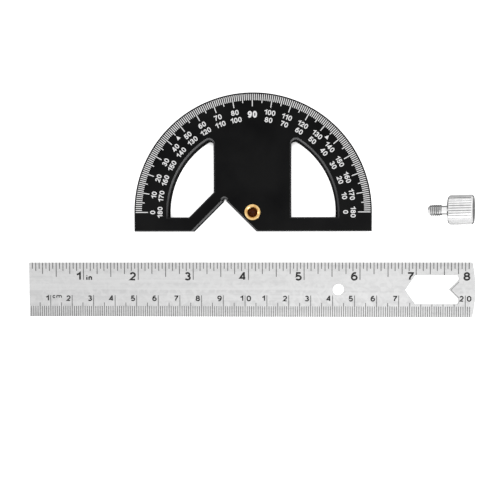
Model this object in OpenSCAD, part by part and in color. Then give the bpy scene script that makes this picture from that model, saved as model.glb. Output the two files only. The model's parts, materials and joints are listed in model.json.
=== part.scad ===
// Angle ruler, taken apart and laid flat: a protractor head with a brass threaded insert,
// a graduated steel rule and the knurled thumb screw that clamps the rule to the head.
// The origin is the pivot, on the plane that everything lies on. X runs along the base
// line of the protractor, Y points to its 90 degree mark and Z out of its printed face.

/* [Protractor head] */
// Radius of the graduated rim
head_r = 52.8; // [50:0.2:60]
// Thickness of the head
head_t = 8; // [6:0.5:12]
// Depth of the straight foot below the base line
foot_depth = 8.6; // [7:0.1:10]
// Small bevel along the rim, the foot and every edge of the back
edge_break = 0.4; // [0.2:0.05:0.6]
// Wider bevel round the windows and the notch at the printed face
opening_bevel = 0.7; // [0.3:0.05:0.8]

/* [Windows of the head] */
// Width of the printed band between the rim and the windows
band_w = 15.1; // [13.5:0.1:18]
// Width of the solid web between the two windows
web_w = 34.6; // [30:0.2:38]
// Width of the bar under the windows
sill_w = 6.4; // [5:0.1:7]
// Rounding radius at the top of each window
window_tip_r = 2; // [1:0.25:3]
// Width of the slanted bar between the left window and the notch
notch_bar_w = 5.7; // [3.5:0.1:7]

/* [Notch in the foot] */
// Depth of the right angled notch
notch_depth = 14.2; // [12:0.1:16]
// Wall left between the notch and the brass insert
notch_wall = 1.1; // [0.9:0.1:3]
// Diameter of the round relief in the corner of the notch
relief_d = 1.8; // [1.4:0.1:3.4]
// Distance of the relief's centre below the corner
relief_drop = 0.2; // [0:0.1:0.6]

/* [Brass insert] */
// Outer diameter, pressed into the head
insert_d = 7.5; // [7:0.1:9]
// Bevel on the insert's outer edge
insert_bevel = 0.3; // [0.15:0.05:0.5]
// Width of the countersink round the threaded bore
mouth_w = 0.55; // [0.3:0.05:0.7]

/* [Clamping thread] */
// Nominal diameter of the thread
thread_d = 5; // [4:0.25:5.5]
// Pitch of the thread
thread_pitch = 0.8; // [0.5:0.1:1]
// Play between the screw and the insert, measured on the diameter
thread_play = 0.1; // [0.05:0.05:0.3]
// Play between the screw and the hole in the rule, measured on the diameter
hole_play = 0.1; // [0.1:0.05:0.5]

/* [Thumb screw] */
// Diameter of the knurled knob
knob_d = 13.2; // [11:0.2:18]
// Length of the knurled knob
knob_l = 10.4; // [8:0.2:14]
// Number of straight knurls
knurls = 36; // [24:1:48]
// Depth of the grooves between the knurls
knurl_depth = 0.35; // [0.2:0.05:0.5]
// Width of each groove at the knob's surface
knurl_groove_w = 0.5; // [0.3:0.05:0.7]
// Bevel at both ends of the knob
knob_bevel = 0.7; // [0.5:0.1:1.2]
// Length of the plain neck between the knob and the thread
neck_l = 2.7; // [1.8:0.1:3.5]
// Diameter of the plain neck
neck_d = 3.9; // [3:0.1:4]
// Bevel at the tip of the thread
tip_bevel = 0.7; // [0.3:0.1:1]
// Distance of the tip from the back of the head when it is screwed home
tip_short = 0.4; // [0:0.1:1]

/* [Steel rule] */
// Length from the zero end to the corners of the rounded end
rule_l = 203.2; // [180:0.2:230]
// Width of the rule
rule_w = 25; // [24:0.5:32]
// Thickness of the rule
rule_t = 1; // [0.6:0.1:1.5]
// Height of the shallow arc at the rounded end
end_bulge = 1.4; // [0.5:0.1:3]

/* [Reading window of the rule] */
// Metal left between the window and the corners of the rounded end
end_land = 6; // [4:0.5:10]
// Length of the window, from its back point to the tip of the pointer
window_l = 19.95; // [16:0.05:26]
// Width of the window
window_w = 13.2; // [11:0.2:15]
// Length of the window's pointed back
back_point_l = 4.6; // [3:0.1:7]
// Length of the right angled pointer
pointer_l = 4.3; // [3:0.1:5]
// Rounding radius of the two corners beside the pointer
window_corner_r = 1.2; // [0.5:0.1:1.8]
// How far the tip of the pointer reaches over the one degree marks
pointer_overlap = 0.9; // [0.3:0.1:2]

/* [Degree marks] */
// Bare margin between the bevel of the rim and the marks
mark_margin = 0.35; // [0.1:0.05:0.6]
// Length of a one degree mark
deg_1_l = 2.75; // [2:0.05:3.4]
// Length of a five degree mark
deg_5_l = 3.85; // [3.5:0.05:4.9]
// Length of a ten degree mark
deg_10_l = 5.45; // [5:0.05:6.5]
// Width of a degree mark
deg_mark_w = 0.38; // [0.2:0.02:0.5]
// Distance of the two triangles from the pivot, at 45 and 135 degrees
triangle_r = 46.7; // [44:0.1:46.8]
// Width and height of a triangle
triangle_size = 1.8; // [1:0.1:2]
// Thickness of the printed layer
ink_t = 0.05; // [0.02:0.01:0.1]

/* [Inch marks] */
// Length of an inch mark
inch_1_l = 8; // [7:0.1:9]
// Length of a half inch mark
inch_2_l = 6.6; // [5.8:0.1:6.9]
// Length of a quarter inch mark
inch_4_l = 5.3; // [4.5:0.1:5.7]
// Length of an eighth inch mark
inch_8_l = 3.9; // [3.2:0.1:4.4]
// Length of a sixteenth inch mark
inch_16_l = 2.9; // [1.8:0.1:3.1]
// Width of an inch mark
inch_mark_w = 0.35; // [0.2:0.05:0.5]

/* [Metric marks] */
// Length of a centimetre mark
mm_10_l = 9.9; // [8:0.1:10.5]
// Length of a five millimetre mark
mm_5_l = 6.5; // [5.5:0.1:7.5]
// Length of a millimetre mark
mm_1_l = 4.9; // [3.5:0.1:5.3]
// Width of a metric mark
mm_mark_w = 0.3; // [0.15:0.05:0.4]

/* [Layout] */
// Screw the pieces together instead of laying them apart
fitted = false; // [true, false]
// Angle that the pointer shows when the pieces are screwed together
fitted_angle = 60; // [0:1:180]
// Gap between the foot of the head and the rule
rule_gap = 14.1; // [5:0.1:40]
// Distance of the rule's zero end to the left of the pivot
rule_left = 103.6; // [60:0.1:140]
// Distance of the knob's shoulder to the right of the pivot
screw_right = 87; // [75:0.1:120]
// Distance of the screw's axis beyond the base line, towards the 90 degree mark
screw_up = 0.8; // [-3:0.1:30]

/* [Hidden] */
$fn = 96;
// Overshoot of a cutter past the faces that it cuts
over = 1;
// Reach of a cutter that stands for a half of the plane
reach = 2 * head_r;

// The windows follow the rim, and the right angled notch follows the insert
window_r = head_r - band_w;
window_bottom = sill_w - foot_depth;
notch_y = notch_depth - foot_depth;
notch_x = -sqrt(2) * (insert_d / 2 + notch_wall) - notch_y;
// Distances from the pivot to the notch's two legs, and to the slanted side of the window
left_leg = (notch_y - notch_x) / sqrt(2);
right_leg = (notch_y + notch_x) / sqrt(2);
slant = left_leg + notch_bar_w;

// The screw and its insert are drawn at the pitch diameter of the thread
pitch_d = thread_d - 0.6495 * thread_pitch;
bore_d = pitch_d + thread_play;
hole_d = thread_d + hole_play;
shank_l = rule_t + head_t - tip_short;
knob_r = knob_d / 2;
// Half the angle of one knurl's crest, and the distance from the axis to its flat
crest_half = 180 / knurls - asin(knurl_groove_w / knob_d);
crest_flat_r = knob_r * cos(crest_half);

// A loose screw lies on its knob's lower rim and on the last full crest of its thread.
// Both places are measured along the axis from the knob's shoulder.
rim_at = crest_flat_r - knob_r + knob_bevel;
last_crest_at = tip_bevel - shank_l + (thread_d - pitch_d) / 2;
lean = atan2(crest_flat_r - thread_d / 2, rim_at - last_crest_at);
shoulder_up = crest_flat_r * cos(lean) - rim_at * sin(lean);

// Radii of the degree marks
mark_r = head_r - edge_break - mark_margin;
deg_1_r = mark_r - deg_1_l;

// The pointer's tip turns over the one degree marks, so the hole follows the head's radius
window_end = rule_l - end_land;
pointer_x = window_end - pointer_l;
hole_x = pointer_x - deg_1_r - pointer_overlap;
window_back = pointer_x - window_l;
end_r = (pow(rule_w / 2, 2) + pow(end_bulge, 2)) / (2 * end_bulge);
inch = 25.4;
// Marks stop this far before the corners of the rounded end
last_mark = 0.8;
inch_marks_n = floor((rule_l - last_mark) / inch * 16);
metric_marks_n = floor(rule_l - last_mark);
rule_y = -foot_depth - rule_gap - rule_w / 2;

// Section of a cut through the head from near to edge. It opens by the edge break at the
// back and by the opening bevel at the printed face.
module cut_section(near, edge) {
    polygon([
        [near, -over],
        [edge + edge_break + over, -over],
        [edge, edge_break],
        [edge, head_t - opening_bevel],
        [edge + opening_bevel + over, head_t + over],
        [near, head_t + over]
    ]);
}

// Half of the plane, cut through the head, with its edge d from the pivot towards angle a
module half_cut(a, d) {
    rotate([0, 0, a])
        rotate([90, 0, 0])
            linear_extrude(2 * reach, center = true)
                cut_section(-reach, d);
}

// Round cut through the head
module round_cut(r) {
    rotate_extrude()
        cut_section(0, r);
}

// What a window keeps of its upper corner: the wedge outside the rounding circle, which
// bites a hair into the web and the band so that it meets them in clean edges
module window_tip() {
    bite = 0.04;
    tip_x = web_w / 2 + window_tip_r - bite;
    tip_y = sqrt(pow(window_r - window_tip_r + bite, 2) - pow(tip_x, 2));
    tip_a = atan2(tip_y, -tip_x);
    side = window_tip_r + opening_bevel + 2 * over;
    difference() {
        translate([-tip_x, tip_y, -over])
            linear_extrude(head_t + 2 * over)
                polygon([
                    [0, 0],
                    [side, 0],
                    [side, 2 * window_tip_r + side],
                    [side * cos(tip_a), 2 * window_tip_r + side],
                    [side * cos(tip_a), side * sin(tip_a)]
                ]);
        translate([-tip_x, tip_y, 0])
            round_cut(window_tip_r);
    }
}

// Window between the band, the web and the sill, drawn for the left side
module side_window() {
    difference() {
        intersection() {
            round_cut(window_r);
            half_cut(0, -web_w / 2);
            half_cut(-90, -window_bottom);
        }
        window_tip();
    }
}

// Right angled notch in the foot, with a round relief in its corner
module foot_notch() {
    intersection() {
        half_cut(135, left_leg);
        half_cut(45, right_leg);
    }
    translate([notch_x, notch_y - relief_drop, 0])
        round_cut(relief_d / 2);
}

// Section through the head across its whole width, with broken edges
module head_section() {
    polygon([
        [-head_r, edge_break],
        [edge_break - head_r, 0],
        [head_r - edge_break, 0],
        [head_r, edge_break],
        [head_r, head_t - edge_break],
        [head_r - edge_break, head_t],
        [edge_break - head_r, head_t],
        [-head_r, head_t - edge_break]
    ]);
}

// Everything that stays above the foot's bottom edge, with that edge broken
module foot_limit() {
    rotate([90, 0, 90])
        linear_extrude(2 * reach + 2 * over, center = true)
            polygon([
                [-foot_depth, edge_break],
                [edge_break - foot_depth + over, -over],
                [over, -over],
                [over, head_t + over],
                [edge_break - foot_depth + over, head_t + over],
                [-foot_depth, head_t - edge_break]
            ]);
}

// Half disc with the straight foot below its base line
module head_blank() {
    difference() {
        union() {
            rotate_extrude()
                intersection() {
                    head_section();
                    square([head_r, head_t]);
                }
            rotate([90, 0, 0])
                linear_extrude(foot_depth)
                    head_section();
        }
        difference() {
            translate([-reach, -reach - foot_depth + edge_break, -over])
                cube([2 * reach, reach, head_t + 2 * over]);
            foot_limit();
        }
    }
}

module protractor_head() {
    color("#1c1c1e")
        difference() {
            head_blank();
            intersection() {
                side_window();
                half_cut(-45, -slant);
            }
            mirror([1, 0, 0])
                side_window();
            foot_notch();
            translate([0, 0, -over])
                cylinder(d = insert_d, h = head_t + 2 * over);
        }
}

// Brass sleeve, flush with both faces of the head, with a countersunk threaded bore
module threaded_insert() {
    color("#d9a441")
        rotate_extrude()
            polygon([
                [bore_d / 2, 0],
                [insert_d / 2, 0],
                [insert_d / 2, head_t - insert_bevel],
                [insert_d / 2 - insert_bevel, head_t],
                [bore_d / 2 + mouth_w, head_t],
                [bore_d / 2, head_t - mouth_w]
            ]);
}

// Length of the mark at a whole number of degrees
function degree_l(a) = a % 10 == 0 ? deg_10_l : a % 5 == 0 ? deg_5_l : deg_1_l;

module degree_marks() {
    color("white")
        translate([0, 0, head_t])
            linear_extrude(ink_t) {
                for (a = [0:180])
                    rotate([0, 0, a])
                        translate([mark_r - degree_l(a), -deg_mark_w / 2])
                            square([degree_l(a), deg_mark_w]);
                for (a = [45, 135])
                    rotate([0, 0, a])
                        polygon([
                            [triangle_r + triangle_size / 2, 0],
                            [triangle_r - triangle_size / 2, triangle_size / 2],
                            [triangle_r - triangle_size / 2, -triangle_size / 2]
                        ]);
            }
}

// Puts what is drawn along +X from the zero end where the rule lies, or on the head
module place_rule() {
    if (fitted)
        translate([0, 0, head_t])
            rotate([0, 0, 180 - fitted_angle])
                translate([-hole_x, 0, 0])
                    children();
    else
        translate([-rule_left, rule_y, 0])
            children();
}

// Outline of the rule, with its zero end straight and its other end a shallow arc
module blade_outline() {
    translate([0, -rule_w / 2])
        square([rule_l, rule_w]);
    intersection() {
        translate([rule_l + end_bulge - end_r, 0])
            circle(end_r);
        translate([rule_l / 2, -rule_w / 2])
            square([rule_l, rule_w]);
    }
}

// One of the two corners beside the pointer, outside its rounding circle
module window_corner() {
    difference() {
        translate([window_end - window_corner_r, window_w / 2 - window_corner_r])
            square(window_corner_r + over);
        translate([window_end - window_corner_r, window_w / 2 - window_corner_r])
            circle(window_corner_r);
    }
}

// Reading window: pointed at its back, with a right angled pointer reaching into it
module reading_window() {
    difference() {
        polygon([
            [window_back, 0],
            [window_back + back_point_l, window_w / 2],
            [window_end, window_w / 2],
            [window_end, pointer_l],
            [pointer_x, 0],
            [window_end, -pointer_l],
            [window_end, -window_w / 2],
            [window_back + back_point_l, -window_w / 2]
        ]);
        window_corner();
        mirror([0, 1])
            window_corner();
    }
}

module steel_rule() {
    color("silver")
        place_rule()
            difference() {
                linear_extrude(rule_t)
                    difference() {
                        blade_outline();
                        reading_window();
                    }
                translate([hole_x, 0, -over])
                    cylinder(d = hole_d, h = rule_t + 2 * over);
            }
}

// Length of the mark at a whole number of sixteenths of an inch
function inch_l(i) =
    i % 16 == 0 ? inch_1_l
    : i % 8 == 0 ? inch_2_l
    : i % 4 == 0 ? inch_4_l
    : i % 2 == 0 ? inch_8_l
    : inch_16_l;

module inch_marks() {
    color("#202020")
        place_rule()
            translate([0, 0, rule_t])
                linear_extrude(ink_t)
                    difference() {
                        for (i = [1:inch_marks_n])
                            translate([i * inch / 16 - inch_mark_w / 2, rule_w / 2 - inch_l(i)])
                                square([inch_mark_w, inch_l(i)]);
                        reading_window();
                    }
}

// Length of the mark at a whole number of millimetres
function metric_l(i) = i % 10 == 0 ? mm_10_l : i % 5 == 0 ? mm_5_l : mm_1_l;

module metric_marks() {
    color("#202020")
        place_rule()
            translate([0, 0, rule_t])
                linear_extrude(ink_t)
                    difference() {
                        for (i = [1:metric_marks_n])
                            translate([i - mm_mark_w / 2, -rule_w / 2])
                                square([mm_mark_w, metric_l(i)]);
                        reading_window();
                    }
}

// Puts what is drawn with its thread down -Z where the screw lies, leaning on the tip of
// its thread, or through the rule
module place_screw() {
    if (fitted)
        translate([0, 0, head_t + rule_t])
            children();
    else
        translate([screw_right, screw_up, shoulder_up])
            rotate([0, 90 - lean, 0])
                children();
}

// Toothed outline of the knob: each knurl is a flat crest with a V groove beside it
module knurled_outline() {
    step = 360 / knurls;
    polygon([
        for (i = [0:knurls - 1])
            each [
                knob_r * [cos(i * step - crest_half), sin(i * step - crest_half)],
                knob_r * [cos(i * step + crest_half), sin(i * step + crest_half)],
                (knob_r - knurl_depth) * [cos((i + 0.5) * step), sin((i + 0.5) * step)]
            ]
    ]);
}

module thumb_screw() {
    color("gainsboro")
        place_screw() {
            intersection() {
                linear_extrude(knob_l)
                    knurled_outline();
                rotate_extrude()
                    polygon([
                        [0, 0],
                        [knob_r - knob_bevel, 0],
                        [knob_r + over, knob_bevel + over],
                        [knob_r + over, knob_l - knob_bevel - over],
                        [knob_r - knob_bevel, knob_l],
                        [0, knob_l]
                    ]);
            }
            rotate_extrude()
                polygon([
                    [0, -shank_l],
                    [pitch_d / 2 - tip_bevel, -shank_l],
                    [pitch_d / 2, tip_bevel - shank_l],
                    [pitch_d / 2, (neck_d - pitch_d) / 2 - neck_l],
                    [neck_d / 2, -neck_l],
                    [neck_d / 2, 0],
                    [0, 0]
                ]);
        }
}

protractor_head();
threaded_insert();
degree_marks();
steel_rule();
inch_marks();
metric_marks();
thumb_screw();
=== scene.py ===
"""Looks of an angle ruler laid out in pieces: protractor head, steel rule and thumb screw.

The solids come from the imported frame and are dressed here. Numerals, unit letters and the
screw threads are modelled here too, as closed meshes. Lengths are written in millimetres
and turned into metres by MM. The frame's origin is the protractor's pivot.
"""

import json
import logging
import math
from dataclasses import dataclass
from enum import Enum

import bpy
from mathutils import Matrix, Vector
from mathutils.geometry import delaunay_2d_cdt


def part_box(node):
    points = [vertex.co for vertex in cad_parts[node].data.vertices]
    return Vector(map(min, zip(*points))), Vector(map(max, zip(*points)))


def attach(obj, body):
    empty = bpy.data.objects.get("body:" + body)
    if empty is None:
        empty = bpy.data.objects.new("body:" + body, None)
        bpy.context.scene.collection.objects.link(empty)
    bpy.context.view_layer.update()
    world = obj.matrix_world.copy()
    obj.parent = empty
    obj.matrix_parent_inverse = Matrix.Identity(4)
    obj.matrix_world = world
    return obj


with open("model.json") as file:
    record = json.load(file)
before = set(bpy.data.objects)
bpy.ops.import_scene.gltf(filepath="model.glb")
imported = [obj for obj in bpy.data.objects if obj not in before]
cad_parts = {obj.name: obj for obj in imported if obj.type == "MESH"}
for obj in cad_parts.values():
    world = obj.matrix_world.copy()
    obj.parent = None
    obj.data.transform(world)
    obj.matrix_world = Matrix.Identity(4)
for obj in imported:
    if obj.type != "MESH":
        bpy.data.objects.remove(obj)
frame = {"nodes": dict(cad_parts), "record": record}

log = logging.getLogger("angle_ruler")

MM = 0.001
INCH = 25.4
CENTIMETRE = 10.0
RIGHT_ANGLE = 90
HALF_TURN = 180
BODY = "root"

Point = tuple[float, float]
Path = list[Point]
Span = tuple[float, float]
Triple = tuple[float, float, float]
Colour = Triple
Socket = bpy.types.NodeSocket
Material = bpy.types.Material

# What a ramp gives at its two ends
RISING: Span = (0.0, 1.0)
FALLING: Span = (1.0, 0.0)

# Values between which most of a noise pattern lies
NOISE_SPAN: Span = (0.3, 0.7)

# Sockets of the Mix node when it mixes colours
MIX_FACTOR, MIX_FIRST, MIX_SECOND, MIX_RESULT = 0, 6, 7, 2

# Settings of the principled surface
METAL = 1.0
NOT_METAL = 0.0
PLAIN_SPECULAR = 0.5

# How far a thread's ridge is sunk into the cylinder that carries it
RIDGE_SUNK = 0.02


class Slot(Enum):
    """Material slots of the record, passed along with the added pieces; nothing here reads them.
    """

    BRASS = "brass"
    WHITE = "white_print"
    BLACK = "black_fill"
    PLATE = "bright_plate"


class Caps(Enum):
    """How the strokes of a numeral end."""

    FLAT = "flat"
    ROUND = "round"


class NodeSheet:
    """Adds and joins the shader nodes of one material or of the world."""

    def __init__(self, owner: Material | bpy.types.World) -> None:
        """Empties the owner's node tree and starts a new one.

        Args:
            owner: the new material or world.
        """
        self.owner = owner
        owner.use_nodes = True
        self.tree = owner.node_tree
        self.tree.nodes.clear()
        world = isinstance(owner, bpy.types.World)
        self.output = self.add("ShaderNodeOutputWorld" if world else "ShaderNodeOutputMaterial")
        self.coordinates = self.add("ShaderNodeTexCoord").outputs["Object"]

    @classmethod
    def named(cls, name: str) -> "NodeSheet":
        """Starts a new material's sheet."""
        return cls(bpy.data.materials.new(name))

    def add(self, kind: str, **settings: object) -> bpy.types.Node:
        """Adds a node.

        Args:
            kind: the node's type name.
            settings: properties of the node.

        Returns:
            The new node.
        """
        node = self.tree.nodes.new(kind)
        for name, value in settings.items():
            setattr(node, name, value)
        return node

    def join(self, source: Socket, target: Socket) -> None:
        """Links one socket to another."""
        self.tree.links.new(source, target)

    def moved(self, place: Matrix) -> Socket:
        """Gives the coordinates as seen from a frame of the piece's own.

        Args:
            place: the frame's place and turn, in millimetres.

        Returns:
            The socket of the coordinates in that frame.
        """
        mapping = self.add("ShaderNodeMapping", vector_type="TEXTURE")
        mapping.inputs["Location"].default_value = place.to_translation() * MM
        mapping.inputs["Rotation"].default_value = place.to_euler()
        self.join(self.coordinates, mapping.inputs["Vector"])
        return mapping.outputs["Vector"]

    def noise(
        self,
        scale: float,
        detail: float = 3.0,
        vector: Socket | None = None,
        swirl: float = 0.0,
    ) -> Socket:
        """Adds a noise pattern.

        Args:
            scale: waves per metre.
            detail: octaves of the noise.
            vector: coordinates, or none for the plain object coordinates.
            swirl: how far the pattern is swirled.

        Returns:
            The noise value, about 0 to 1.
        """
        node = self.add("ShaderNodeTexNoise")
        node.inputs["Scale"].default_value = scale
        node.inputs["Detail"].default_value = detail
        node.inputs["Distortion"].default_value = swirl
        self.join(vector or self.coordinates, node.inputs["Vector"])
        return node.outputs["Fac"]

    def streaks(self, scale: Triple, detail: float = 3.0, vector: Socket | None = None) -> Socket:
        """Adds a noise pattern that is drawn out along an axis.

        Args:
            scale: waves per metre along each axis.
            detail: octaves of the noise.
            vector: coordinates, or none for the plain object coordinates.

        Returns:
            The noise value, about 0 to 1.
        """
        mapping = self.add("ShaderNodeMapping")
        mapping.inputs["Scale"].default_value = scale
        self.join(vector or self.coordinates, mapping.inputs["Vector"])
        return self.noise(1.0, detail, mapping.outputs["Vector"])

    def rings(self, spacing_mm: float, waver: float, vector: Socket | None = None) -> Socket:
        """Adds turning rings about the Z axis.

        Args:
            spacing_mm: distance from ring to ring.
            waver: how far the rings waver.
            vector: coordinates, or none for the plain object coordinates.

        Returns:
            The rings' value, 0 to 1.
        """
        # The wave node turns through 20 radians per unit of length
        waves_per_unit = 20.0 / math.tau
        node = self.add("ShaderNodeTexWave", wave_type="RINGS", rings_direction="Z")
        node.inputs["Scale"].default_value = 1.0 / (spacing_mm * MM * waves_per_unit)
        node.inputs["Distortion"].default_value = waver
        self.join(vector or self.coordinates, node.inputs["Vector"])
        return node.outputs["Fac"]

    def ramp(self, value: Socket, over: Span, out: Span = RISING) -> Socket:
        """Maps a value linearly from one range to another, clamped.

        Args:
            value: the socket to map.
            over: the values where the ramp starts and ends.
            out: what it gives there.

        Returns:
            The mapped value.
        """
        node = self.add("ShaderNodeMapRange")
        node.inputs["From Min"].default_value, node.inputs["From Max"].default_value = over
        node.inputs["To Min"].default_value, node.inputs["To Max"].default_value = out
        self.join(value, node.inputs["Value"])
        return node.outputs["Result"]

    def blend(self, factor: Socket, first: Colour | Socket, second: Colour | Socket) -> Socket:
        """Mixes two colours.

        Args:
            factor: 0 for the first colour and 1 for the second.
            first: a colour or a socket.
            second: a colour or a socket.

        Returns:
            The mixed colour.
        """
        node = self.add("ShaderNodeMix", data_type="RGBA")
        self.join(factor, node.inputs[MIX_FACTOR])
        for number, colour in ((MIX_FIRST, first), (MIX_SECOND, second)):
            if isinstance(colour, Socket):
                self.join(colour, node.inputs[number])
            else:
                node.inputs[number].default_value = (*colour, 1.0)
        return node.outputs[MIX_RESULT]

    def math(self, operation: str, first: Socket, second: Socket) -> Socket:
        """Works out one number from two.

        Args:
            operation: the operation's name.
            first: a number.
            second: a number.

        Returns:
            The result.
        """
        node = self.add("ShaderNodeMath", operation=operation)
        self.join(first, node.inputs[0])
        self.join(second, node.inputs[1])
        return node.outputs[0]

    def openness(self, reach_mm: float, samples: int = 8) -> Socket:
        """Tells how much of the surroundings a point of the surface sees.

        Args:
            reach_mm: how far away a neighbour still counts.
            samples: how many directions are tried.

        Returns:
            0 deep in a groove or a bore and 1 in the open.
        """
        node = self.add("ShaderNodeAmbientOcclusion", samples=samples)
        node.inputs["Distance"].default_value = reach_mm * MM
        return node.outputs["AO"]

    def seen_ray(self) -> Socket:
        """Tells the rays that look at the backdrop from those that only light the tool.

        Returns:
            1 on camera, glossy and transmission rays, otherwise 0.
        """
        path = self.add("ShaderNodeLightPath").outputs
        seen = self.math("MAXIMUM", path["Is Camera Ray"], path["Is Glossy Ray"])
        return self.math("MAXIMUM", seen, path["Is Transmission Ray"])

    def bump(
        self,
        height: Socket,
        depth_mm: float,
        strength: float = 0.3,
        under: Socket | None = None,
    ) -> Socket:
        """Turns a height pattern into a bumped normal.

        Args:
            height: the pattern, 0 to 1.
            depth_mm: depth of the relief in millimetres.
            strength: share of the relief that shows.
            under: an earlier normal that this one adds to.

        Returns:
            The bumped normal.
        """
        node = self.add("ShaderNodeBump")
        node.inputs["Strength"].default_value = strength
        node.inputs["Distance"].default_value = depth_mm * MM
        self.join(height, node.inputs["Height"])
        if under:
            self.join(under, node.inputs["Normal"])
        return node.outputs["Normal"]

    def surface(
        self,
        colour: Socket,
        roughness: Socket,
        normal: Socket,
        metallic: float,
        specular: float = PLAIN_SPECULAR,
    ) -> Material:
        """Closes the material with a principled surface.

        Args:
            colour: the base colour.
            roughness: the roughness.
            normal: the bumped normal.
            metallic: METAL, or NOT_METAL for plastic and ink.
            specular: strength of the plain reflection.

        Returns:
            The finished material.
        """
        shader = self.add("ShaderNodeBsdfPrincipled")
        shader.inputs["Metallic"].default_value = metallic
        shader.inputs["Specular IOR Level"].default_value = specular
        self.join(colour, shader.inputs["Base Color"])
        self.join(roughness, shader.inputs["Roughness"])
        self.join(normal, shader.inputs["Normal"])
        self.join(shader.outputs["BSDF"], self.output.inputs["Surface"])
        return self.owner


@dataclass(frozen=True)
class MouldedPlastic:
    """Satin black moulding with a fine grain and a painted highlight: its bevels are painted
    lighter.

    A slope here is the upright part of the surface's normal, 1 on a level face and 0 on a wall.

    Attributes:
        dark: colour of the darker patches.
        light: colour of the lighter patches.
        rubbed: lighter colour painted on a bevel as a highlight.
        patch_scale: patches per metre.
        patch_span: noise values from the dark to the light patches.
        grain_scale: grains per metre.
        grain_mm: depth of the grain.
        bevel_slope: slopes from a level face to a bevel.
        wall_slope: slopes from a wall to a bevel.
        rubbing: least and most of the painted bevel highlight.
        roughness: least and most roughness of the grain.
        polish: how much smoother a highlighted bevel is.
        wall_matt: how much rougher a wall is.
        specular: strength of the plain reflection.
    """

    dark: Colour = (0.0016, 0.0016, 0.0018)
    light: Colour = (0.0042, 0.0042, 0.0043)
    rubbed: Colour = (0.028, 0.028, 0.029)
    patch_scale: float = 55.0
    patch_span: Span = (0.35, 0.65)
    grain_scale: float = 2600.0
    grain_mm: float = 0.016
    bevel_slope: Span = (0.97, 0.8)
    wall_slope: Span = (0.15, 0.5)
    rubbing: Span = (0.7, 1.0)
    roughness: Span = (0.44, 0.56)
    polish: float = 0.22
    wall_matt: float = 0.5
    specular: float = 0.045

    def material(self) -> Material:
        """Builds the material.

        Returns:
            The material.
        """
        sheet = NodeSheet.named("satin_black_moulding")
        patches = sheet.noise(self.patch_scale, detail=4.0)
        grain = sheet.noise(self.grain_scale, detail=2.0)
        body = sheet.blend(sheet.ramp(patches, self.patch_span), self.dark, self.light)
        parts = sheet.add("ShaderNodeSeparateXYZ")
        sheet.join(sheet.add("ShaderNodeNewGeometry").outputs["Normal"], parts.inputs[0])
        slope = parts.outputs["Z"]
        off_level = sheet.ramp(slope, self.bevel_slope)
        off_wall = sheet.ramp(slope, self.wall_slope)
        rubbing = sheet.ramp(patches, NOISE_SPAN, self.rubbing)
        # Painted highlight: bevels between the level face and the walls are painted lighter, more
        # on some patches than others.
        edge = sheet.math("MULTIPLY", sheet.math("MULTIPLY", off_level, off_wall), rubbing)
        colour = sheet.blend(edge, body, self.rubbed)
        fine = sheet.ramp(grain, NOISE_SPAN, self.roughness)
        polish = sheet.ramp(edge, RISING, (0.0, self.polish))
        matt = sheet.ramp(off_wall, RISING, (self.wall_matt, 0.0))
        roughness = sheet.math("ADD", sheet.math("SUBTRACT", fine, polish), matt)
        normal = sheet.bump(grain, self.grain_mm)
        return sheet.surface(colour, roughness, normal, NOT_METAL, self.specular)


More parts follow.
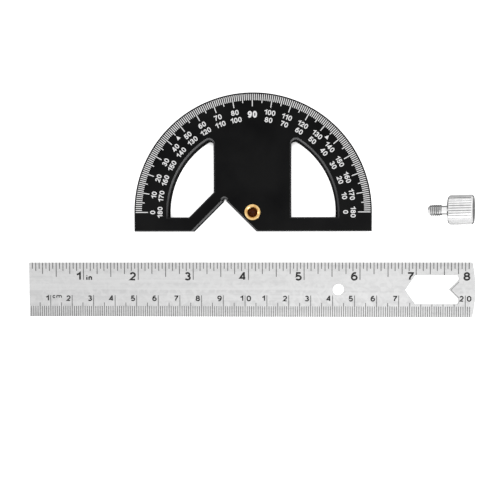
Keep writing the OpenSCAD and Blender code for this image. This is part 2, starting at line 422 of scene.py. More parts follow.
@dataclass(frozen=True)
class BrushedSteel:
    """Light grey steel, finely brushed along the rule, with a line scribed round its pointer.

    Attributes:
        dark: colour between the broad streaks.
        light: colour of the broad streaks and of the clouds.
        fine_streaks: waves of the fine brushing per metre, along each axis.
        broad_streaks: the same for the broad streaks.
        broad_span: noise values from the dark to the light.
        cloud_scale: clouds per metre.
        cloud_swirl: how far the clouds are swirled.
        cloud_span: noise values from the clear steel to a cloud.
        cloud_cover: how much of the streaks a cloud covers.
        roughness: least and most roughness.
        relief_mm: depth of the fine brushing.
        scribed: colour of the scribed line.
        scribe_from: how far inside the pointer's edge the line starts.
        scribe_to: how far inside the pointer's edge it ends.
        scribe_end: how far along the rule from the pointer's tip it runs.
        scribe_soft: half the width over which it fades.
    """

    dark: Colour = (0.52, 0.52, 0.522)
    light: Colour = (0.66, 0.66, 0.66)
    fine_streaks: Triple = (45.0, 2100.0, 2100.0)
    broad_streaks: Triple = (9.0, 700.0, 700.0)
    broad_span: Span = (0.25, 0.75)
    cloud_scale: float = 260.0
    cloud_swirl: float = 1.6
    cloud_span: Span = (0.4, 0.62)
    cloud_cover: float = 0.75
    roughness: Span = (0.3, 0.4)
    relief_mm: float = 0.003
    scribed: Colour = (0.12, 0.12, 0.122)
    scribe_from: float = 0.45
    scribe_to: float = 0.75
    scribe_end: float = 4.3
    scribe_soft: float = 0.08

    def scribed_edges(self, sheet: NodeSheet, tip: Vector) -> Socket:
        """Finds the thin line that runs just inside the pointer's two square edges.

        Args:
            sheet: the material's nodes.
            tip: the pointer's tip in millimetres.

        Returns:
            1 on the line and 0 elsewhere.
        """
        parts = sheet.add("ShaderNodeSeparateXYZ")
        sheet.join(sheet.moved(Matrix.Translation(tip)), parts.inputs[0])
        behind, aside = parts.outputs["X"], parts.outputs["Y"]
        inside = sheet.math("SUBTRACT", behind, sheet.math("ABSOLUTE", aside, aside))
        near, far, end = (v * MM for v in (self.scribe_from, self.scribe_to, self.scribe_end))
        soft = self.scribe_soft * MM
        on = sheet.ramp(inside, (near - soft, near + soft))
        off = sheet.ramp(inside, (far - soft, far + soft), FALLING)
        ended = sheet.ramp(behind, (end, end + soft), FALLING)
        return sheet.math("MULTIPLY", sheet.math("MULTIPLY", on, off), ended)

    def material(self, tip: Vector) -> Material:
        """Builds the material.

        Args:
            tip: the tip of the rule's pointer in millimetres.

        Returns:
            The material.
        """
        sheet = NodeSheet.named("brushed_steel")
        fine = sheet.streaks(self.fine_streaks)
        broad = sheet.streaks(self.broad_streaks)
        cloud = sheet.noise(self.cloud_scale, detail=4.0, swirl=self.cloud_swirl)
        base = sheet.blend(sheet.ramp(broad, self.broad_span), self.dark, self.light)
        cover = sheet.ramp(cloud, self.cloud_span, (0.0, self.cloud_cover))
        shade = sheet.blend(cover, base, self.light)
        roughness = sheet.ramp(fine, NOISE_SPAN, self.roughness)
        normal = sheet.bump(fine, self.relief_mm)
        colour = sheet.blend(self.scribed_edges(sheet, tip), shade, self.scribed)
        return sheet.surface(colour, roughness, normal, METAL)


@dataclass(frozen=True)
class TurnedBrass:
    """Brass with fine turning rings about the pivot, with painted shade in its corners and down
    its bore.

    Attributes:
        dark: colour of the duller stains.
        light: colour of the bright brass.
        tarnish: colour of the painted shade in the corners and the bore.
        ring_spacing: distance from ring to ring.
        ring_waver: how far the rings waver.
        ring_mm: depth of the rings.
        stain_scale: stains per metre.
        stain_span: noise values from the dull to the bright.
        brightness: least and most of the bright colour.
        tarnish_reach: how far away a wall still casts the painted shade.
        tarnish_span: openness from full painted shade to none.
        roughness: least and most roughness.
    """

    dark: Colour = (0.72, 0.42, 0.14)
    light: Colour = (0.95, 0.70, 0.34)
    tarnish: Colour = (0.16, 0.05, 0.012)
    ring_spacing: float = 0.28
    ring_waver: float = 0.6
    ring_mm: float = 0.003
    stain_scale: float = 700.0
    stain_span: Span = (0.35, 0.65)
    brightness: Span = (0.2, 1.0)
    tarnish_reach: float = 4.0
    tarnish_span: Span = (0.45, 0.85)
    roughness: Span = (0.24, 0.34)

    def material(self) -> Material:
        """Builds the material.

        Returns:
            The material.
        """
        sheet = NodeSheet.named("turned_brass")
        rings = sheet.rings(self.ring_spacing, self.ring_waver)
        stain = sheet.noise(self.stain_scale)
        share = sheet.ramp(stain, self.stain_span, self.brightness)
        bright = sheet.blend(share, self.dark, self.light)
        # Painted shade: darker where the surface sees little of its surroundings, as in the bore.
        deep = sheet.ramp(sheet.openness(self.tarnish_reach), self.tarnish_span, FALLING)
        colour = sheet.blend(deep, bright, self.tarnish)
        roughness = sheet.ramp(stain, NOISE_SPAN, self.roughness)
        normal = sheet.bump(rings, self.ring_mm, strength=0.25)
        return sheet.surface(colour, roughness, normal, METAL)


@dataclass(frozen=True)
class BrightPlate:
    """Bright nickel plate with faint turning marks and painted shade in its grooves.

    Attributes:
        name: name of the material.
        dark: colour of the duller stains.
        light: colour of the bright plate.
        dirt: colour of the painted shade in the grooves.
        dirt_reach: how far away a wall still makes a groove for the painted shade.
        dirt_span: openness from full painted shade to none.
        turned: colour of the rings on the end face.
        ring_spacing: distance from ring to ring.
        ring_waver: how far the rings waver.
        ring_span: ring values from a line to the face.
        ring_mm: depth of the rings.
        face_at: place of the end face along the lathe's axis.
        face_soft: distance over which the rings fade behind it.
        turning: waves of the turning marks per metre, across and along the axis.
        turning_mm: depth of the turning marks.
        stain_scale: stains per metre.
        stain_span: noise values from the dull to the bright.
        roughness: roughness of the dull and of the bright.
    """

    name: str = "bright_plate"
    dark: Colour = (0.84, 0.84, 0.845)
    light: Colour = (0.93, 0.93, 0.93)
    dirt: Colour = (0.12, 0.12, 0.122)
    dirt_reach: float = 0.7
    dirt_span: Span = (0.3, 0.66)
    turned: Colour = (0.64, 0.64, 0.645)
    ring_spacing: float = 0.34
    ring_waver: float = 0.4
    ring_span: Span = (0.1, 0.5)
    ring_mm: float = 0.004
    face_at: float = -13.5
    face_soft: float = 0.05
    turning: Triple = (260.0, 260.0, 5200.0)
    turning_mm: float = 0.003
    stain_scale: float = 420.0
    stain_span: Span = (0.3, 0.6)
    roughness: Span = (0.2, 0.15)

    def material(self, lathe: Matrix) -> Material:
        """Builds the material.

        Args:
            lathe: a frame in millimetres whose Z axis is the one that the piece was turned about.

        Returns:
            The material.
        """
        sheet = NodeSheet.named(self.name)
        own = sheet.moved(lathe)
        turning = sheet.streaks(self.turning, 2.0, own)
        rings = sheet.rings(self.ring_spacing, self.ring_waver, own)
        parts = sheet.add("ShaderNodeSeparateXYZ")
        sheet.join(own, parts.inputs[0])
        face = (self.face_at * MM, (self.face_at + self.face_soft) * MM)
        on_face = sheet.ramp(parts.outputs["Z"], face, FALLING)
        ring_line = sheet.math("MULTIPLY", sheet.ramp(rings, self.ring_span, FALLING), on_face)
        stain = sheet.noise(self.stain_scale)
        bright = sheet.blend(sheet.ramp(stain, self.stain_span), self.dark, self.light)
        # Painted shade: darker in the knurl's and the thread's grooves.
        deep = sheet.ramp(sheet.openness(self.dirt_reach), self.dirt_span, FALLING)
        colour = sheet.blend(ring_line, sheet.blend(deep, bright, self.dirt), self.turned)
        roughness = sheet.ramp(stain, NOISE_SPAN, self.roughness)
        faced = sheet.bump(rings, self.ring_mm)
        normal = sheet.bump(turning, self.turning_mm, under=faced)
        return sheet.surface(colour, roughness, normal, METAL)


@dataclass(frozen=True)
class MarkInk:
    """Printed or filled marks: one ink with a slightly uneven film.

    Attributes:
        name: name of the material.
        thin: colour where the film is thin.
        full: colour where it is full.
        film_scale: unevennesses per metre.
        film_span: noise values from thin to full.
        roughness: roughness of the thin and of the full film.
        relief_mm: depth of the unevenness.
        specular: strength of the plain reflection.
    """

    name: str
    thin: Colour
    full: Colour
    film_scale: float = 1500.0
    film_span: Span = (0.3, 0.55)
    roughness: Span = (0.5, 0.62)
    relief_mm: float = 0.01
    specular: float = 0.3

    def material(self) -> Material:
        """Builds the material.

        Returns:
            The material.
        """
        sheet = NodeSheet.named(self.name)
        film = sheet.noise(self.film_scale)
        colour = sheet.blend(sheet.ramp(film, self.film_span), self.thin, self.full)
        roughness = sheet.ramp(film, NOISE_SPAN, self.roughness)
        normal = sheet.bump(film, self.relief_mm, strength=0.25)
        return sheet.surface(colour, roughness, normal, NOT_METAL, self.specular)


BRIGHT_PLATE = BrightPlate()
# A darker copy of the bright plate for the thread's ridge: painted shade of the thread.
SHADED_THREAD_PLATE = BrightPlate("shaded_thread_plate", (0.26, 0.26, 0.262), (0.42, 0.42, 0.42))
WHITE_INK = MarkInk("white_ink", (0.88, 0.88, 0.88), (0.98, 0.98, 0.98))
BLACK_FILL = MarkInk("black_fill", (0.035, 0.035, 0.035), (0.012, 0.012, 0.012))
WORN_FILL = MarkInk("worn_black_fill", (0.22, 0.22, 0.22), (0.10, 0.10, 0.10))


def arc(centre: Point, radii: Point, start: float, end: float, steps: int = 14) -> Path:
    """Gives points along an elliptical arc.

    Args:
        centre: centre of the arc.
        radii: half width and half height.
        start: angle of the first point in degrees.
        end: angle of the last point in degrees.
        steps: number of chords.

    Returns:
        The points, both ends included.
    """
    angles = [math.radians(start + (end - start) * i / steps) for i in range(steps + 1)]
    return [
        (centre[0] + radii[0] * math.cos(a), centre[1] + radii[1] * math.sin(a))
        for a in angles
    ]


def half_turned(strokes: list[Path]) -> list[Path]:
    """Turns strokes by 180 degrees within the unit cell."""
    return [[(1.0 - x, 1.0 - y) for x, y in path] for path in strokes]


# The 6 in a unit cell: its bowl and its stem. The 9 is the same, turned round.
SIX: list[Path] = [
    arc((0.5, 0.31), (0.5, 0.31), 0, 360, 24),
    arc((0.62, 0.36), (0.62, 0.64), 184, 68),
]

# Each glyph's width as a share of its height, and its centre lines in a unit cell
GLYPHS: dict[str, tuple[float, list[Path]]] = {
    "0": (
        0.62,
        [
            arc((0.5, 0.6), (0.5, 0.4), 0, 180)
            + arc((0.5, 0.4), (0.5, 0.4), 180, 360)
            + [(1.0, 0.6)]
        ],
    ),
    "1": (0.5, [[(0.0, 0.74), (0.5, 0.84), (0.9, 1.0), (0.9, 0.0)]]),
    "2": (
        0.6,
        [arc((0.5, 0.7), (0.48, 0.3), 165, -38) + [(0.0, 0.0), (1.0, 0.0)]],
    ),
    "3": (
        0.6,
        [
            arc((0.47, 0.76), (0.42, 0.24), 155, -90),
            arc((0.48, 0.26), (0.5, 0.26), 90, -155),
        ],
    ),
    "4": (0.64, [[(1.0, 0.26), (0.0, 0.26), (0.68, 1.0), (0.74, 1.0), (0.74, 0.0)]]),
    "5": (
        0.6,
        [[(0.95, 1.0), (0.16, 1.0), (0.08, 0.48)] + arc((0.47, 0.29), (0.52, 0.3), 142, -150)],
    ),
    "6": (0.62, SIX),
    "7": (0.62, [[(0.0, 1.0), (1.0, 1.0)] + arc((1.35, 0.0), (1.0, 0.85), 120, 180, 6)]),
    "8": (
        0.62,
        [
            arc((0.5, 0.765), (0.42, 0.235), 0, 360, 20),
            arc((0.5, 0.27), (0.5, 0.27), 0, 360, 22),
        ],
    ),
    "9": (0.62, half_turned(SIX)),
    "i": (0.0, [[(0.5, 0.0), (0.5, 0.66)], [(0.5, 0.88), (0.5, 1.0)]]),
    "n": (
        0.48,
        [[(0.0, 0.0), (0.0, 0.68)], arc((0.5, 0.38), (0.5, 0.3), 180, 0) + [(1.0, 0.0)]],
    ),
    "c": (0.5, [arc((0.5, 0.34), (0.5, 0.34), 48, 312, 18)]),
    "m": (
        0.84,
        [
            [(0.0, 0.0), (0.0, 0.68)],
            arc((0.25, 0.4), (0.25, 0.28), 180, 0, 8) + [(0.5, 0.0)],
            arc((0.75, 0.4), (0.25, 0.28), 180, 0, 8) + [(1.0, 0.0)],
        ],
    ),
}


# Points closer than this are one point of a glyph
SAME_POINT = 1e-6

# A bend whose directions agree less than this is a corner and gets a round patch
CORNER_BEND = 0.8

# Keeps the outside of a sharp bend from reaching too far
LEAST_MITRE = 0.45

# A round patch's last corner in degrees, and its number of chords up to there
PATCH_TURN, PATCH_STEPS = 345, 15

# What the triangulation keeps, and how close two of its points may lie
INSIDE_ONLY = 1
MERGE_WITHIN = 1e-5


@dataclass(frozen=True)
class StrokeFont:
    """Numerals drawn with strokes of one width.

    Attributes:
        height: height of a digit in millimetres, strokes included.
        stroke: width of the stroke in millimetres.
        gap: space between two digits in millimetres.
        caps: how the strokes end.
        spread: factor on the digits' width.
        mark_gap: space in millimetres between a number and the mark that it belongs to.
    """

    height: float
    stroke: float
    gap: float
    caps: Caps
    spread: float = 1.0
    mark_gap: float = 0.0

    def width(self, glyph: str) -> float:
        """Gives a glyph's full width in millimetres."""
        return max(GLYPHS[glyph][0] * self.height * self.spread, self.stroke)

    def length(self, word: str) -> float:
        """Gives a word's full width in millimetres."""
        return sum(self.width(g) for g in word) + self.gap * (len(word) - 1)

    def strokes(self, word: str, left: float, base: float) -> list[Path]:
        """Lays a word's centre lines out on a line.

        Args:
            word: the glyphs.
            left: left end of the word in millimetres.
            base: the base line's height in millimetres.

        Returns:
            The centre lines in millimetres.
        """
        laid: list[Path] = []
        inset = self.stroke / 2
        for glyph in word:
            wide = self.width(glyph)
            for path in GLYPHS[glyph][1]:
                laid.append(
                    [
                        (
                            left + inset + x * (wide - self.stroke),
                            base + inset + y * (self.height - self.stroke),
                        )
                        for x, y in path
                    ]
                )
            left += wide + self.gap
        return laid

    def patches(self, path: Path) -> list[Path]:
        """Cuts a stroke into convex patches of its full width.

        Args:
            path: the stroke's centre line.

        Returns:
            Polygons that cover the stroke.
        """
        half = self.stroke / 2
        points = [Vector(p) for p in path]
        closed = (points[0] - points[-1]).length < SAME_POINT
        steps = [(b - a).normalized() for a, b in zip(points, points[1:])]
        sides: list[Vector] = []
        corners: list[Vector] = []
        for i, point in enumerate(points):
            before = steps[i - 1] if i else (steps[-1] if closed else steps[0])
            after = steps[i] if i < len(steps) else (steps[0] if closed else steps[-1])
            middle = (before + after).normalized()
            across = Vector((-middle.y, middle.x))
            lean = max(across.dot(Vector((-before.y, before.x))), LEAST_MITRE)
            sides.append(across * (half / lean))
            if before.dot(after) < CORNER_BEND:
                corners.append(point)
        shapes = [
            [
                tuple(points[i] + sides[i]),
                tuple(points[i] - sides[i]),
                tuple(points[i + 1] - sides[i + 1]),
                tuple(points[i + 1] + sides[i + 1]),
            ]
            for i in range(len(steps))
        ]
        if self.caps is Caps.ROUND and not closed:
            corners += [points[0], points[-1]]
        if self.caps is Caps.ROUND:
            disc = ((half, half), 0, PATCH_TURN, PATCH_STEPS)
            shapes += [arc(tuple(corner), *disc) for corner in corners]
        return shapes


class InkMesh:
    """Collects flat shapes and turns their union into a thin closed solid."""

    def __init__(self, name: str, low: float, high: float) -> None:
        """Starts an empty collection.

        Args:
            name: name of the piece.
            low: height of the lower face in millimetres.
            high: height of the upper face in millimetres.
        """
        self.name = name
        self.low = low
        self.high = high
        self.vertices: list[Triple] = []
        self.faces: list[list[int]] = []

    def add(self, shapes: list[Path], place: Matrix) -> None:
        """Adds the union of some flat shapes as one closed solid.

        Args:
            shapes: polygons in millimetres.
            place: places the shapes in the plane of the marks, in millimetres.
        """
        flat: list[Vector] = []
        loops: list[list[int]] = []
        for shape in shapes:
            area = sum(a[0] * b[1] - b[0] * a[1] for a, b in zip(shape, shape[1:] + shape[:1]))
            ordered = shape if area > 0 else shape[::-1]
            loops.append(list(range(len(flat), len(flat) + len(ordered))))
            flat += [Vector(p) for p in ordered]
        points, _, cells, _, _, owners = delaunay_2d_cdt(
            flat, [], loops, INSIDE_ONLY, MERGE_WITHIN
        )
        triangles = [cell for cell, owner in zip(cells, owners) if owner]
        start = len(self.vertices)
        count = len(points)
        for height in (self.high, self.low):
            for p in points:
                at = place @ Vector((p.x, p.y, 0.0))
                self.vertices.append((at.x * MM, at.y * MM, height * MM))
        edges: set[tuple[int, int]] = set()
        for triangle in triangles:
            a, b, c = triangle
            turned = (points[b] - points[a]).cross(points[c] - points[a]) < 0
            loop = [a, c, b] if turned else [a, b, c]
            self.faces.append([start + i for i in loop])
            self.faces.append([start + count + i for i in reversed(loop)])
            edges.update(zip(loop, loop[1:] + loop[:1]))
        for a, b in edges:
            if (b, a) not in edges:
                lower = start + count
                self.faces.append([start + b, start + a, lower + a, lower + b])

    def write(
        self, font: StrokeFont, word: str, left: float, base: float, place: Matrix
    ) -> None:
        """Prints a word.

        Args:
            font: its font.
            word: what it says.
            left: its left end in millimetres.
            base: height of its base line in millimetres.
            place: places the word in the plane of the marks, in millimetres.
        """
        paths = font.strokes(word, left, base)
        self.add([patch for path in paths for patch in font.patches(path)], place)

    def build(self, material: Material, slot: Slot) -> bpy.types.Object:
        """Makes the object, dresses it and lets it ride on the tool.

        Args:
            material: the ink.
            slot: not used.

        Returns:
            The new object.
        """
        return make_piece(self.name, self.vertices, self.faces, material)


def put_in_scene(name: str, data: bpy.types.ID) -> bpy.types.Object:
    """Adds a mesh, lamp or camera to the scene.

    Args:
        name: name of the object.
        data: the mesh, lamp or camera.

    Returns:
        The new object.
    """
    item = bpy.data.objects.new(name, data)
    bpy.context.scene.collection.objects.link(item)
    return item


def level_sheet(
    name: str, low: Point, high: Point, height: float, material: Material
) -> bpy.types.Object:
    """Lays a level rectangle.

    Args:
        name: name of the object.
        low: its lower left corner in millimetres.
        high: its upper right corner in millimetres.
        height: its height in millimetres.
        material: its finish.

    Returns:
        The new object.
    """
    (left, front), (right, back) = low, high
    corners = [(left, front), (right, front), (right, back), (left, back)]
    mesh = bpy.data.meshes.new(name)
    mesh.from_pydata([(x * MM, y * MM, height * MM) for x, y in corners], [], [[0, 1, 2, 3]])
    mesh.materials.append(material)
    return put_in_scene(name, mesh)


def make_piece(
    name: str,
    vertices: list[Triple],
    faces: list[list[int]],
    material: Material,
) -> bpy.types.Object:
    """Makes a mesh object that rides on the tool.

    Args:
        name: name of the piece.
        vertices: points in metres.
        faces: loops of point numbers.
        material: its finish.

    Returns:
        The new object.
    """
    mesh = bpy.data.meshes.new(name)
    mesh.from_pydata(vertices, [], faces)
    mesh.validate()
    mesh.materials.append(material)
    piece = put_in_scene(name, mesh)
    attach(piece, BODY)
    log.info("piece %s: %d faces", name, len(mesh.polygons))
    return piece


def dress(node: str, material: Material) -> bpy.types.Object:
    """Gives a solid of the frame its finish.

    Args:
        node: name of the solid.
        material: its finish.

    Returns:
        The solid's object.
    """
    solid = frame["nodes"][node]
    if not solid.material_slots:
        solid.data.materials.append(material)
    for held in solid.material_slots:
        held.link = "OBJECT"
        held.material = material
    log.info("solid %s dressed in %s", node, material.name)
    return solid


@dataclass
class ThreadRidge:
    """The helical ridge of a screw thread, as one closed mesh.

    Attributes:
        name: name of the piece.
        root_r: radius where the ridge meets the plain cylinder.
        crest_r: radius of the ridge's crest; smaller than root_r inside a bore.
        pitch: advance in one turn.
        length: length of the ridge along its axis.
        steps: sections in one turn.
        foot: half width of the ridge at its foot, as a share of the pitch.
        top: half width of its crest, as a share of the pitch.
        fade: turns over which it rises at either end.
    """

    name: str
    root_r: float
    crest_r: float
    pitch: float
    length: float
    steps: int = 40
    foot: float = 0.42
    top: float = 0.09
    fade: float = 0.5

    def build(self, place: Matrix, material: Material, slot: Slot) -> bpy.types.Object:
        """Sweeps the ridge's section along its helix.

        Args:
            place: puts the helix, drawn up from the origin along Z, in its place.
            material: its finish.
            slot: not used.

        Returns:
            The new object.
        """
        count = int(self.length / self.pitch * self.steps)
        foot, top = self.foot * self.pitch, self.top * self.pitch
        corners = 4
        vertices: list[Triple] = []
        faces: list[list[int]] = []
        for i in range(count + 1):
            share = min(1.0, min(i, count - i) / (self.fade * self.steps))
            crest = self.root_r + (self.crest_r - self.root_r) * share
            angle = math.tau * i / self.steps
            rise = self.length * i / count
            for r, dz in (
                (self.root_r, -foot),
                (crest, -top),
                (crest, top),
                (self.root_r, foot),
            ):
                at = place @ Vector((r * math.cos(angle), r * math.sin(angle), rise + dz))
                vertices.append(tuple(at * MM))
        for i in range(count):
            for k in range(corners):
                a, b = corners * i + k, corners * i + (k + 1) % corners
                faces.append([a, a + corners, b + corners, b])
        faces.append(list(range(corners)))
        faces.append([corners * count + k for k in reversed(range(corners))])
        if self.crest_r < self.root_r:
            faces = [face[::-1] for face in faces]
        return make_piece(self.name, vertices, faces, material)


@dataclass
class ProtractorHead:
    """The black head: its moulding, its degree scale and its numerals.

    Attributes:
        outer_r: distance of the outer numerals' middle from the pivot.
        inner_r: distance of the inner numerals' middle from the pivot.
        ninety_r: distance of the large 90 from the pivot.
        step: degrees from number to number.
        ink: thickness of the print.
        small: font of the numerals.
        large: font of the 90.
    """

    outer_r: float = 44.45
    inner_r: float = 41.15
    ninety_r: float = 43.1
    step: int = 10
    ink: float = 0.05
    small: StrokeFont = StrokeFont(
        height=2.25, stroke=0.43, gap=0.25, caps=Caps.ROUND, spread=1.12
    )
    large: StrokeFont = StrokeFont(
        height=2.95, stroke=0.68, gap=0.35, caps=Caps.ROUND, spread=1.025
    )

    def build(self) -> None:
        """Dresses the moulding and prints its scale."""
        dress("protractor_head", MouldedPlastic().material())
        white = WHITE_INK.material()
        dress("degree_marks", white)
        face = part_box("protractor_head")[1].z / MM
        outer = InkMesh("outer_degree_numerals", face, face + self.ink)
        inner = InkMesh("inner_degree_numerals", face, face + self.ink)
        ninety = InkMesh("ninety_numeral", face, face + self.ink)
        for angle in range(0, HALF_TURN + 1, self.step):
            if angle == RIGHT_ANGLE:
                self.print_number(ninety, self.large, angle, angle, self.ninety_r)
                continue
            self.print_number(outer, self.small, HALF_TURN - angle, angle, self.outer_r)
            self.print_number(inner, self.small, angle, angle, self.inner_r)
        for mesh in (outer, inner, ninety):
            mesh.build(white, Slot.WHITE)

    def print_number(
        self, mesh: InkMesh, font: StrokeFont, number: int, angle: float, radius: float
    ) -> None:
        """Prints one number with its top towards the rim.

        Args:
            mesh: the layer that takes the number.
            font: its font.
            number: what it says.
            angle: its direction from the pivot in degrees, 0 along +X.
            radius: distance of its middle from the pivot.
        """
        word = str(number)
        turn = Matrix.Rotation(math.radians(angle - RIGHT_ANGLE), 4, "Z")
        place = turn @ Matrix.Translation((0.0, radius, 0.0))
        mesh.write(font, word, -font.length(word) / 2, -font.height / 2, place)


@dataclass
class BrassInsert:
    """The threaded brass insert at the pivot.

    Attributes:
        minor_r: radius of the thread's inner crests.
        pitch: pitch of the thread.
        lead: bare length at the mouth and at the back.
    """

    minor_r: float = 2.07
    pitch: float = 0.8
    lead: float = 0.7

    def build(self) -> None:
        """Dresses the sleeve and cuts its thread."""
        brass = TurnedBrass().material()
        dress("threaded_insert", brass)
        bore = mount("pivot_thread")
        ridge = ThreadRidge(
            "insert_thread",
            bore["dims"]["r_mm"] + RIDGE_SUNK,
            self.minor_r,
            self.pitch,
            bore["dims"]["length_mm"] - 2 * self.lead,
        )
        ridge.build(Matrix.Translation((0.0, 0.0, self.lead)), brass, Slot.BRASS)


@dataclass
class SteelRule:
    """The steel rule with its inch and metric scales.

    Attributes:
        inches: how many inches are numbered.
        centimetres: the centimetres that are numbered.
        in_full: those of them that show both digits; the others show the last one.
        ink: thickness of the filled marks.
        inch_base: height of the inch numerals' base line over the rule's middle.
        metric_base: the same for the metric numerals.
        unit_rise: how far the metric unit's base line lies above the numerals'.
        pointer_at: distance of the pointer's tip from the zero end.
        bold: font of the inch numerals.
        plain: font of the metric numerals.
        inch_unit: font of the inch scale's unit.
        metric_unit: font of the metric scale's unit.
    """

    inches: int = 8
    centimetres: tuple[int, ...] = (*range(1, 18), 20)
    in_full: tuple[int, ...] = (10, 20)
    ink: float = 0.05
    inch_base: float = 4.2
    metric_base: float = -5.35
    unit_rise: float = 1.35
    pointer_at: float = 192.9
    bold: StrokeFont = StrokeFont(
        height=3.9, stroke=0.8, gap=0.3, caps=Caps.FLAT, spread=1.27, mark_gap=1.05
    )
    plain: StrokeFont = StrokeFont(
        height=2.65, stroke=0.55, gap=0.22, caps=Caps.FLAT, spread=1.25, mark_gap=0.7
    )
    inch_unit: StrokeFont = StrokeFont(
        height=2.7, stroke=0.62, gap=0.4, caps=Caps.FLAT, spread=1.35, mark_gap=1.25
    )
    metric_unit: StrokeFont = StrokeFont(
        height=1.95, stroke=0.4, gap=0.3, caps=Caps.FLAT, spread=1.55, mark_gap=0.85
    )

    def build(self) -> None:
        """Dresses the blade and prints its numerals."""
        low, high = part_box("steel_rule")
        middle = (low.y + high.y) / 2 / MM
        tip = Vector((low.x / MM + self.pointer_at, middle, 0.0))
        dress("steel_rule", BrushedSteel().material(tip))
        black = BLACK_FILL.material()
        worn = WORN_FILL.material()
        dress("inch_marks", worn)
        dress("metric_marks", worn)
        face = high.z / MM
        place = Matrix.Translation((low.x / MM, middle, 0.0))
        inches = InkMesh("inch_numerals", face, face + self.ink)
        metric = InkMesh("metric_numerals", face, face + self.ink)
        for inch in range(1, self.inches + 1):
            self.number(inches, self.bold, inch, INCH * inch, self.inch_base, place)
        for centimetre in self.centimetres:
            shown = centimetre if centimetre in self.in_full else centimetre % 10
            mark = CENTIMETRE * centimetre
            self.number(metric, self.plain, shown, mark, self.metric_base, place)
        left, base = INCH + self.inch_unit.mark_gap, self.inch_base
        inches.write(self.inch_unit, "in", left, base, place)
        left, base = CENTIMETRE + self.metric_unit.mark_gap, self.metric_base + self.unit_rise
        metric.write(self.metric_unit, "cm", left, base, place)
        for mesh in (inches, metric):
            mesh.build(black, Slot.BLACK)

    def number(
        self,
        mesh: InkMesh,
        font: StrokeFont,
        number: int,
        mark: float,
        base: float,
        place: Matrix,
    ) -> None:
        """Prints a number to the left of its mark, or astride it if it has two digits.

        Args:
            mesh: the layer that takes the number.
            font: its font.
            number: what it says.
            mark: distance of its mark from the zero end.
            base: height of its base line over the rule's middle.
            place: places the rule's own coordinates in the frame.
        """
        digits = str(number)
        gap = font.mark_gap
        mesh.write(font, digits[0], mark - gap - font.width(digits[0]), base, place)
        if len(digits) > 1:
            mesh.write(font, digits[1], mark + gap, base, place)


@dataclass
class ThumbScrew:
    """The knurled thumb screw, lying on its knob and on the tip of its thread.

    Attributes:
        major_r: radius of the thread's crests.
        pitch: pitch of the thread.
        lead: bare length at both ends of the thread together.
    """

    major_r: float = 2.47
    pitch: float = 0.8
    lead: float = 0.3

    def build(self) -> None:
        """Dresses the screw and cuts its thread."""
        shank = mount("screw_thread")
        run = shank["dims"]["length_mm"] - self.lead
        axis = Vector(shank["axis"])
        start = Vector(shank["pos_m"]) / MM - axis * (run / 2)
        lathe = Matrix.Translation(start) @ axis.to_track_quat("Z", "Y").to_matrix().to_4x4()
        dress("thumb_screw", BRIGHT_PLATE.material(lathe))
        ridge = ThreadRidge(
            "screw_thread_ridge",
            shank["dims"]["r_mm"] - RIDGE_SUNK,
            self.major_r,
            self.pitch,
            run,
        )
        # The ridge wears the darker copy of the plate, as painted shade.
        ridge.build(lathe, SHADED_THREAD_PLATE.material(lathe), Slot.PLATE)


@dataclass(frozen=True)
class Softbox:
    """A rectangular lamp that looks at the protractor's pivot.

    Attributes:
        name: name of the lamp.
        at: its place in millimetres.
        size: its width and height in millimetres.
        power: its power in watts.
        lights: the solids that it lights, or none for everything.
    """

    name: str
    at: Triple
    size: tuple[float, float]
    power: float
    lights: tuple[str, ...] = ()

    def hang(self) -> None:
        """Adds the lamp to the scene."""
        lamp = bpy.data.lights.new(self.name, "AREA")
        lamp.shape = "RECTANGLE"
        lamp.size = self.size[0] * MM
        lamp.size_y = self.size[1] * MM
        lamp.energy = self.power
        holder = put_in_scene(self.name, lamp)
        holder.location = Vector(self.at) * MM
        holder.rotation_euler = (-Vector(self.at)).to_track_quat("-Z", "Y").to_euler()
        holder.visible_camera = False
        if self.lights:
            lit = bpy.data.collections.new(self.name + "_lights")
            for node in self.lights:
                lit.objects.link(frame["nodes"][node])
            holder.light_linking.receiver_collection = lit


HEAD_ONLY = ("protractor_head",)
INSERT_ONLY = ("threaded_insert",)

SOFTBOXES = (
    Softbox("front_strip", (-60.0, -520.0, 100.0), (700.0, 180.0), 5.0, HEAD_ONLY),
    Softbox("left_strip", (-420.0, -330.0, 100.0), (500.0, 180.0), 4.0, HEAD_ONLY),
    Softbox("right_strip", (420.0, -310.0, 100.0), (500.0, 180.0), 6.0, HEAD_ONLY),
    Softbox("insert_left_lamp", (-440.0, 60.0, 130.0), (220.0, 110.0), 0.9, INSERT_ONLY),
    Softbox("insert_right_lamp", (330.0, -330.0, 130.0), (220.0, 110.0), 0.9, INSERT_ONLY),
    Softbox("high_softbox", (110.0, -520.0, 520.0), (800.0, 800.0), 2.1),
)


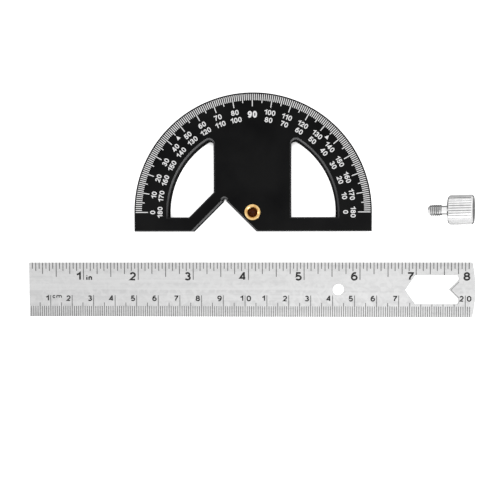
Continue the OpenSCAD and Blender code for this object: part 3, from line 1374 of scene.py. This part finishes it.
@dataclass(frozen=True)
class GreyCard:
    """A glowing grey sheet on the floor beside the screw, seen only in reflections: painted shade
    of the floor mirrored in the bright metal.

    Attributes:
        name: name of the sheet.
        low: its lower left corner in millimetres.
        high: its upper right corner in millimetres.
        tone: how bright it looks in a reflection.
        height: its height over the floor in millimetres.
        cloud_scale: clouds per metre.
        cloud_share: least and most of the tone in a cloud.
    """

    name: str
    low: Point
    high: Point
    tone: float
    height: float = 0.05
    cloud_scale: float = 120.0
    cloud_share: Span = (0.9, 1.1)

    def lay(self) -> None:
        """Adds the sheet of painted reflected shade to the scene."""
        sheet = NodeSheet.named(self.name)
        glow = sheet.add("ShaderNodeEmission")
        tones = (self.cloud_share[0] * self.tone, self.cloud_share[1] * self.tone)
        cloud = sheet.ramp(sheet.noise(self.cloud_scale), NOISE_SPAN, tones)
        sheet.join(cloud, glow.inputs["Strength"])
        sheet.join(glow.outputs[0], sheet.output.inputs["Surface"])
        shade_sheet = level_sheet(self.name, self.low, self.high, self.height, sheet.owner)
        shade_sheet.visible_camera = False
        shade_sheet.visible_diffuse = False
        shade_sheet.visible_transmission = False
        shade_sheet.visible_shadow = False


# Glowing sheets that put painted shade into the screw's reflections.
REFLECTED_SHADE_SHEETS = (
    GreyCard("far_reflected_shade", (56.0, 2.0), (112.0, 330.0), 0.2),
    GreyCard("near_reflected_shade", (56.0, -8.0), (73.5, -1.2), 0.08),
    GreyCard("end_reflected_shade", (82.0, -16.0), (112.0, 1.9), 0.2),
)


@dataclass
class Studio:
    """Floor, lamps, world and camera.

    Attributes:
        camera_at: the camera's place in millimetres.
        tilt: the camera's small turns about X, Y and Z in degrees, from straight down.
        focal_px: focal length in pixels of the frame.
        frame_px: width of the frame in pixels.
        sensor: width of the camera's sensor in millimetres.
        clip: nearest and farthest that it sees, in millimetres.
        world_light: strength at which the white world lights the tool.
        floor_half: half the floor's width in millimetres.
        paper: darkest colour of the floor's paper.
        paper_light: its lightest colour.
        fibre_scale: fibres per metre of the paper.
        paper_glow: what the paper adds to the eye, so that it shows white.
        mirrored_glow: what it adds in a reflection.
        shade_reach: distance in millimetres at which a neighbour shades the paper.
        shade_samples: how many directions are tried for that shade.
        shade_span: openness from full shade to none.
        deep_shade: the paper's colour where hardly any light reaches it.
        bore_shade: its colour in the light that the brass throws down the bore.
        bore_reach: radius in millimetres about the pivot in which it takes that colour.
        bore_fade: that radius times this is where the colour has gone.
    """

    camera_at: Triple = (5.26, -9.48, 250.0)
    tilt: Triple = (1.73, -1.505, 0.087)
    focal_px: float = 545.0
    frame_px: float = 500.0
    sensor: float = 36.0
    clip: Span = (1.0, 20000.0)
    world_light: float = 0.66
    floor_half: float = 1500.0
    paper: Colour = (0.86, 0.86, 0.86)
    paper_light: Colour = (0.91, 0.91, 0.91)
    fibre_scale: float = 900.0
    paper_glow: float = 0.95
    mirrored_glow: float = 0.1
    shade_reach: float = 12.0
    shade_samples: int = 24
    shade_span: Span = (0.15, 0.3)
    deep_shade: Colour = (0.2, 0.2, 0.2)
    bore_shade: Colour = (0.55, 0.13, 0.02)
    bore_reach: float = 3.0
    bore_fade: float = 1.1

    def build(self) -> None:
        """Sets up everything that isn't part of the tool."""
        self.aim_camera()
        self.lay_floor()
        self.light_world()
        for softbox in SOFTBOXES:
            softbox.hang()
        for shade_sheet in REFLECTED_SHADE_SHEETS:
            shade_sheet.lay()

    def aim_camera(self) -> None:
        """Puts the camera where the photograph was taken from."""
        camera = bpy.data.cameras.new("camera")
        camera.sensor_width = self.sensor
        camera.lens = self.sensor * self.focal_px / self.frame_px
        camera.clip_start, camera.clip_end = (distance * MM for distance in self.clip)
        holder = put_in_scene("camera", camera)
        turn = Matrix.Identity(3)
        for angle, axis in zip(self.tilt, "XYZ"):
            turn = turn @ Matrix.Rotation(math.radians(angle), 3, axis)
        place = Matrix.Translation(Vector(self.camera_at) * MM)
        holder.matrix_world = place @ turn.transposed().to_4x4()
        bpy.context.scene.camera = holder

    def paper_material(self) -> Material:
        """Builds the floor's paper, which shows white but darkens under and inside the tool.

        Returns:
            The material.
        """
        sheet = NodeSheet.named("white_paper")
        fibre = sheet.ramp(sheet.noise(self.fibre_scale), NOISE_SPAN)
        colour = sheet.blend(fibre, self.paper, self.paper_light)
        lit = sheet.ramp(sheet.openness(self.shade_reach, self.shade_samples), self.shade_span)
        away = sheet.add("ShaderNodeVectorMath", operation="LENGTH")
        sheet.join(sheet.coordinates, away.inputs[0])
        reach = self.bore_reach * MM
        in_bore = sheet.ramp(away.outputs["Value"], (reach, self.bore_fade * reach), FALLING)
        deep = sheet.blend(in_bore, self.deep_shade, self.bore_shade)
        diffuse = sheet.add("ShaderNodeBsdfDiffuse")
        sheet.join(sheet.blend(lit, deep, colour), diffuse.inputs["Color"])
        path = sheet.add("ShaderNodeLightPath").outputs
        seen = sheet.ramp(path["Is Camera Ray"], RISING, (0.0, self.paper_glow))
        other = sheet.math("MAXIMUM", path["Is Glossy Ray"], path["Is Transmission Ray"])
        mirrored = sheet.ramp(other, RISING, (0.0, self.mirrored_glow))
        glow = sheet.add("ShaderNodeEmission")
        strength = sheet.math("MULTIPLY", sheet.math("ADD", seen, mirrored), lit)
        sheet.join(strength, glow.inputs["Strength"])
        both = sheet.add("ShaderNodeAddShader")
        sheet.join(diffuse.outputs[0], both.inputs[0])
        sheet.join(glow.outputs[0], both.inputs[1])
        sheet.join(both.outputs[0], sheet.output.inputs["Surface"])
        return sheet.owner

    def lay_floor(self) -> None:
        """Lays a wide pale floor under the tool."""
        half = self.floor_half
        floor = level_sheet("floor", (-half, -half), (half, half), 0.0, self.paper_material())

    def light_world(self) -> None:
        """Makes a plain white world, seen at full strength and lighting at less."""
        sheet = NodeSheet(bpy.data.worlds.new("white_room"))
        backdrop = sheet.add("ShaderNodeBackground")
        backdrop.inputs["Color"].default_value = (1.0, 1.0, 1.0, 1.0)
        strength = sheet.ramp(sheet.seen_ray(), RISING, (self.world_light, 1.0))
        sheet.join(strength, backdrop.inputs["Strength"])
        sheet.join(backdrop.outputs["Background"], sheet.output.inputs["Surface"])
        bpy.context.scene.world = sheet.owner


def mount(name: str) -> dict:
    """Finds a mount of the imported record.

    Args:
        name: the mount's name.

    Returns:
        The mount, with its place and dimensions.
    """
    return next(m for m in frame["record"]["mounts"] if m["name"] == name)


def main() -> None:
    """Builds the tool's pieces and the studio."""
    logging.basicConfig(level=logging.INFO, format="%(name)s: %(message)s")
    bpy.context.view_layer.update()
    Studio().build()
    for assembly in (ProtractorHead(), BrassInsert(), SteelRule(), ThumbScrew()):
        assembly.build()
        log.info("built %s", type(assembly).__name__)
    bpy.context.scene.view_settings.view_transform = "Standard"


if __name__ == "__main__":
    main()
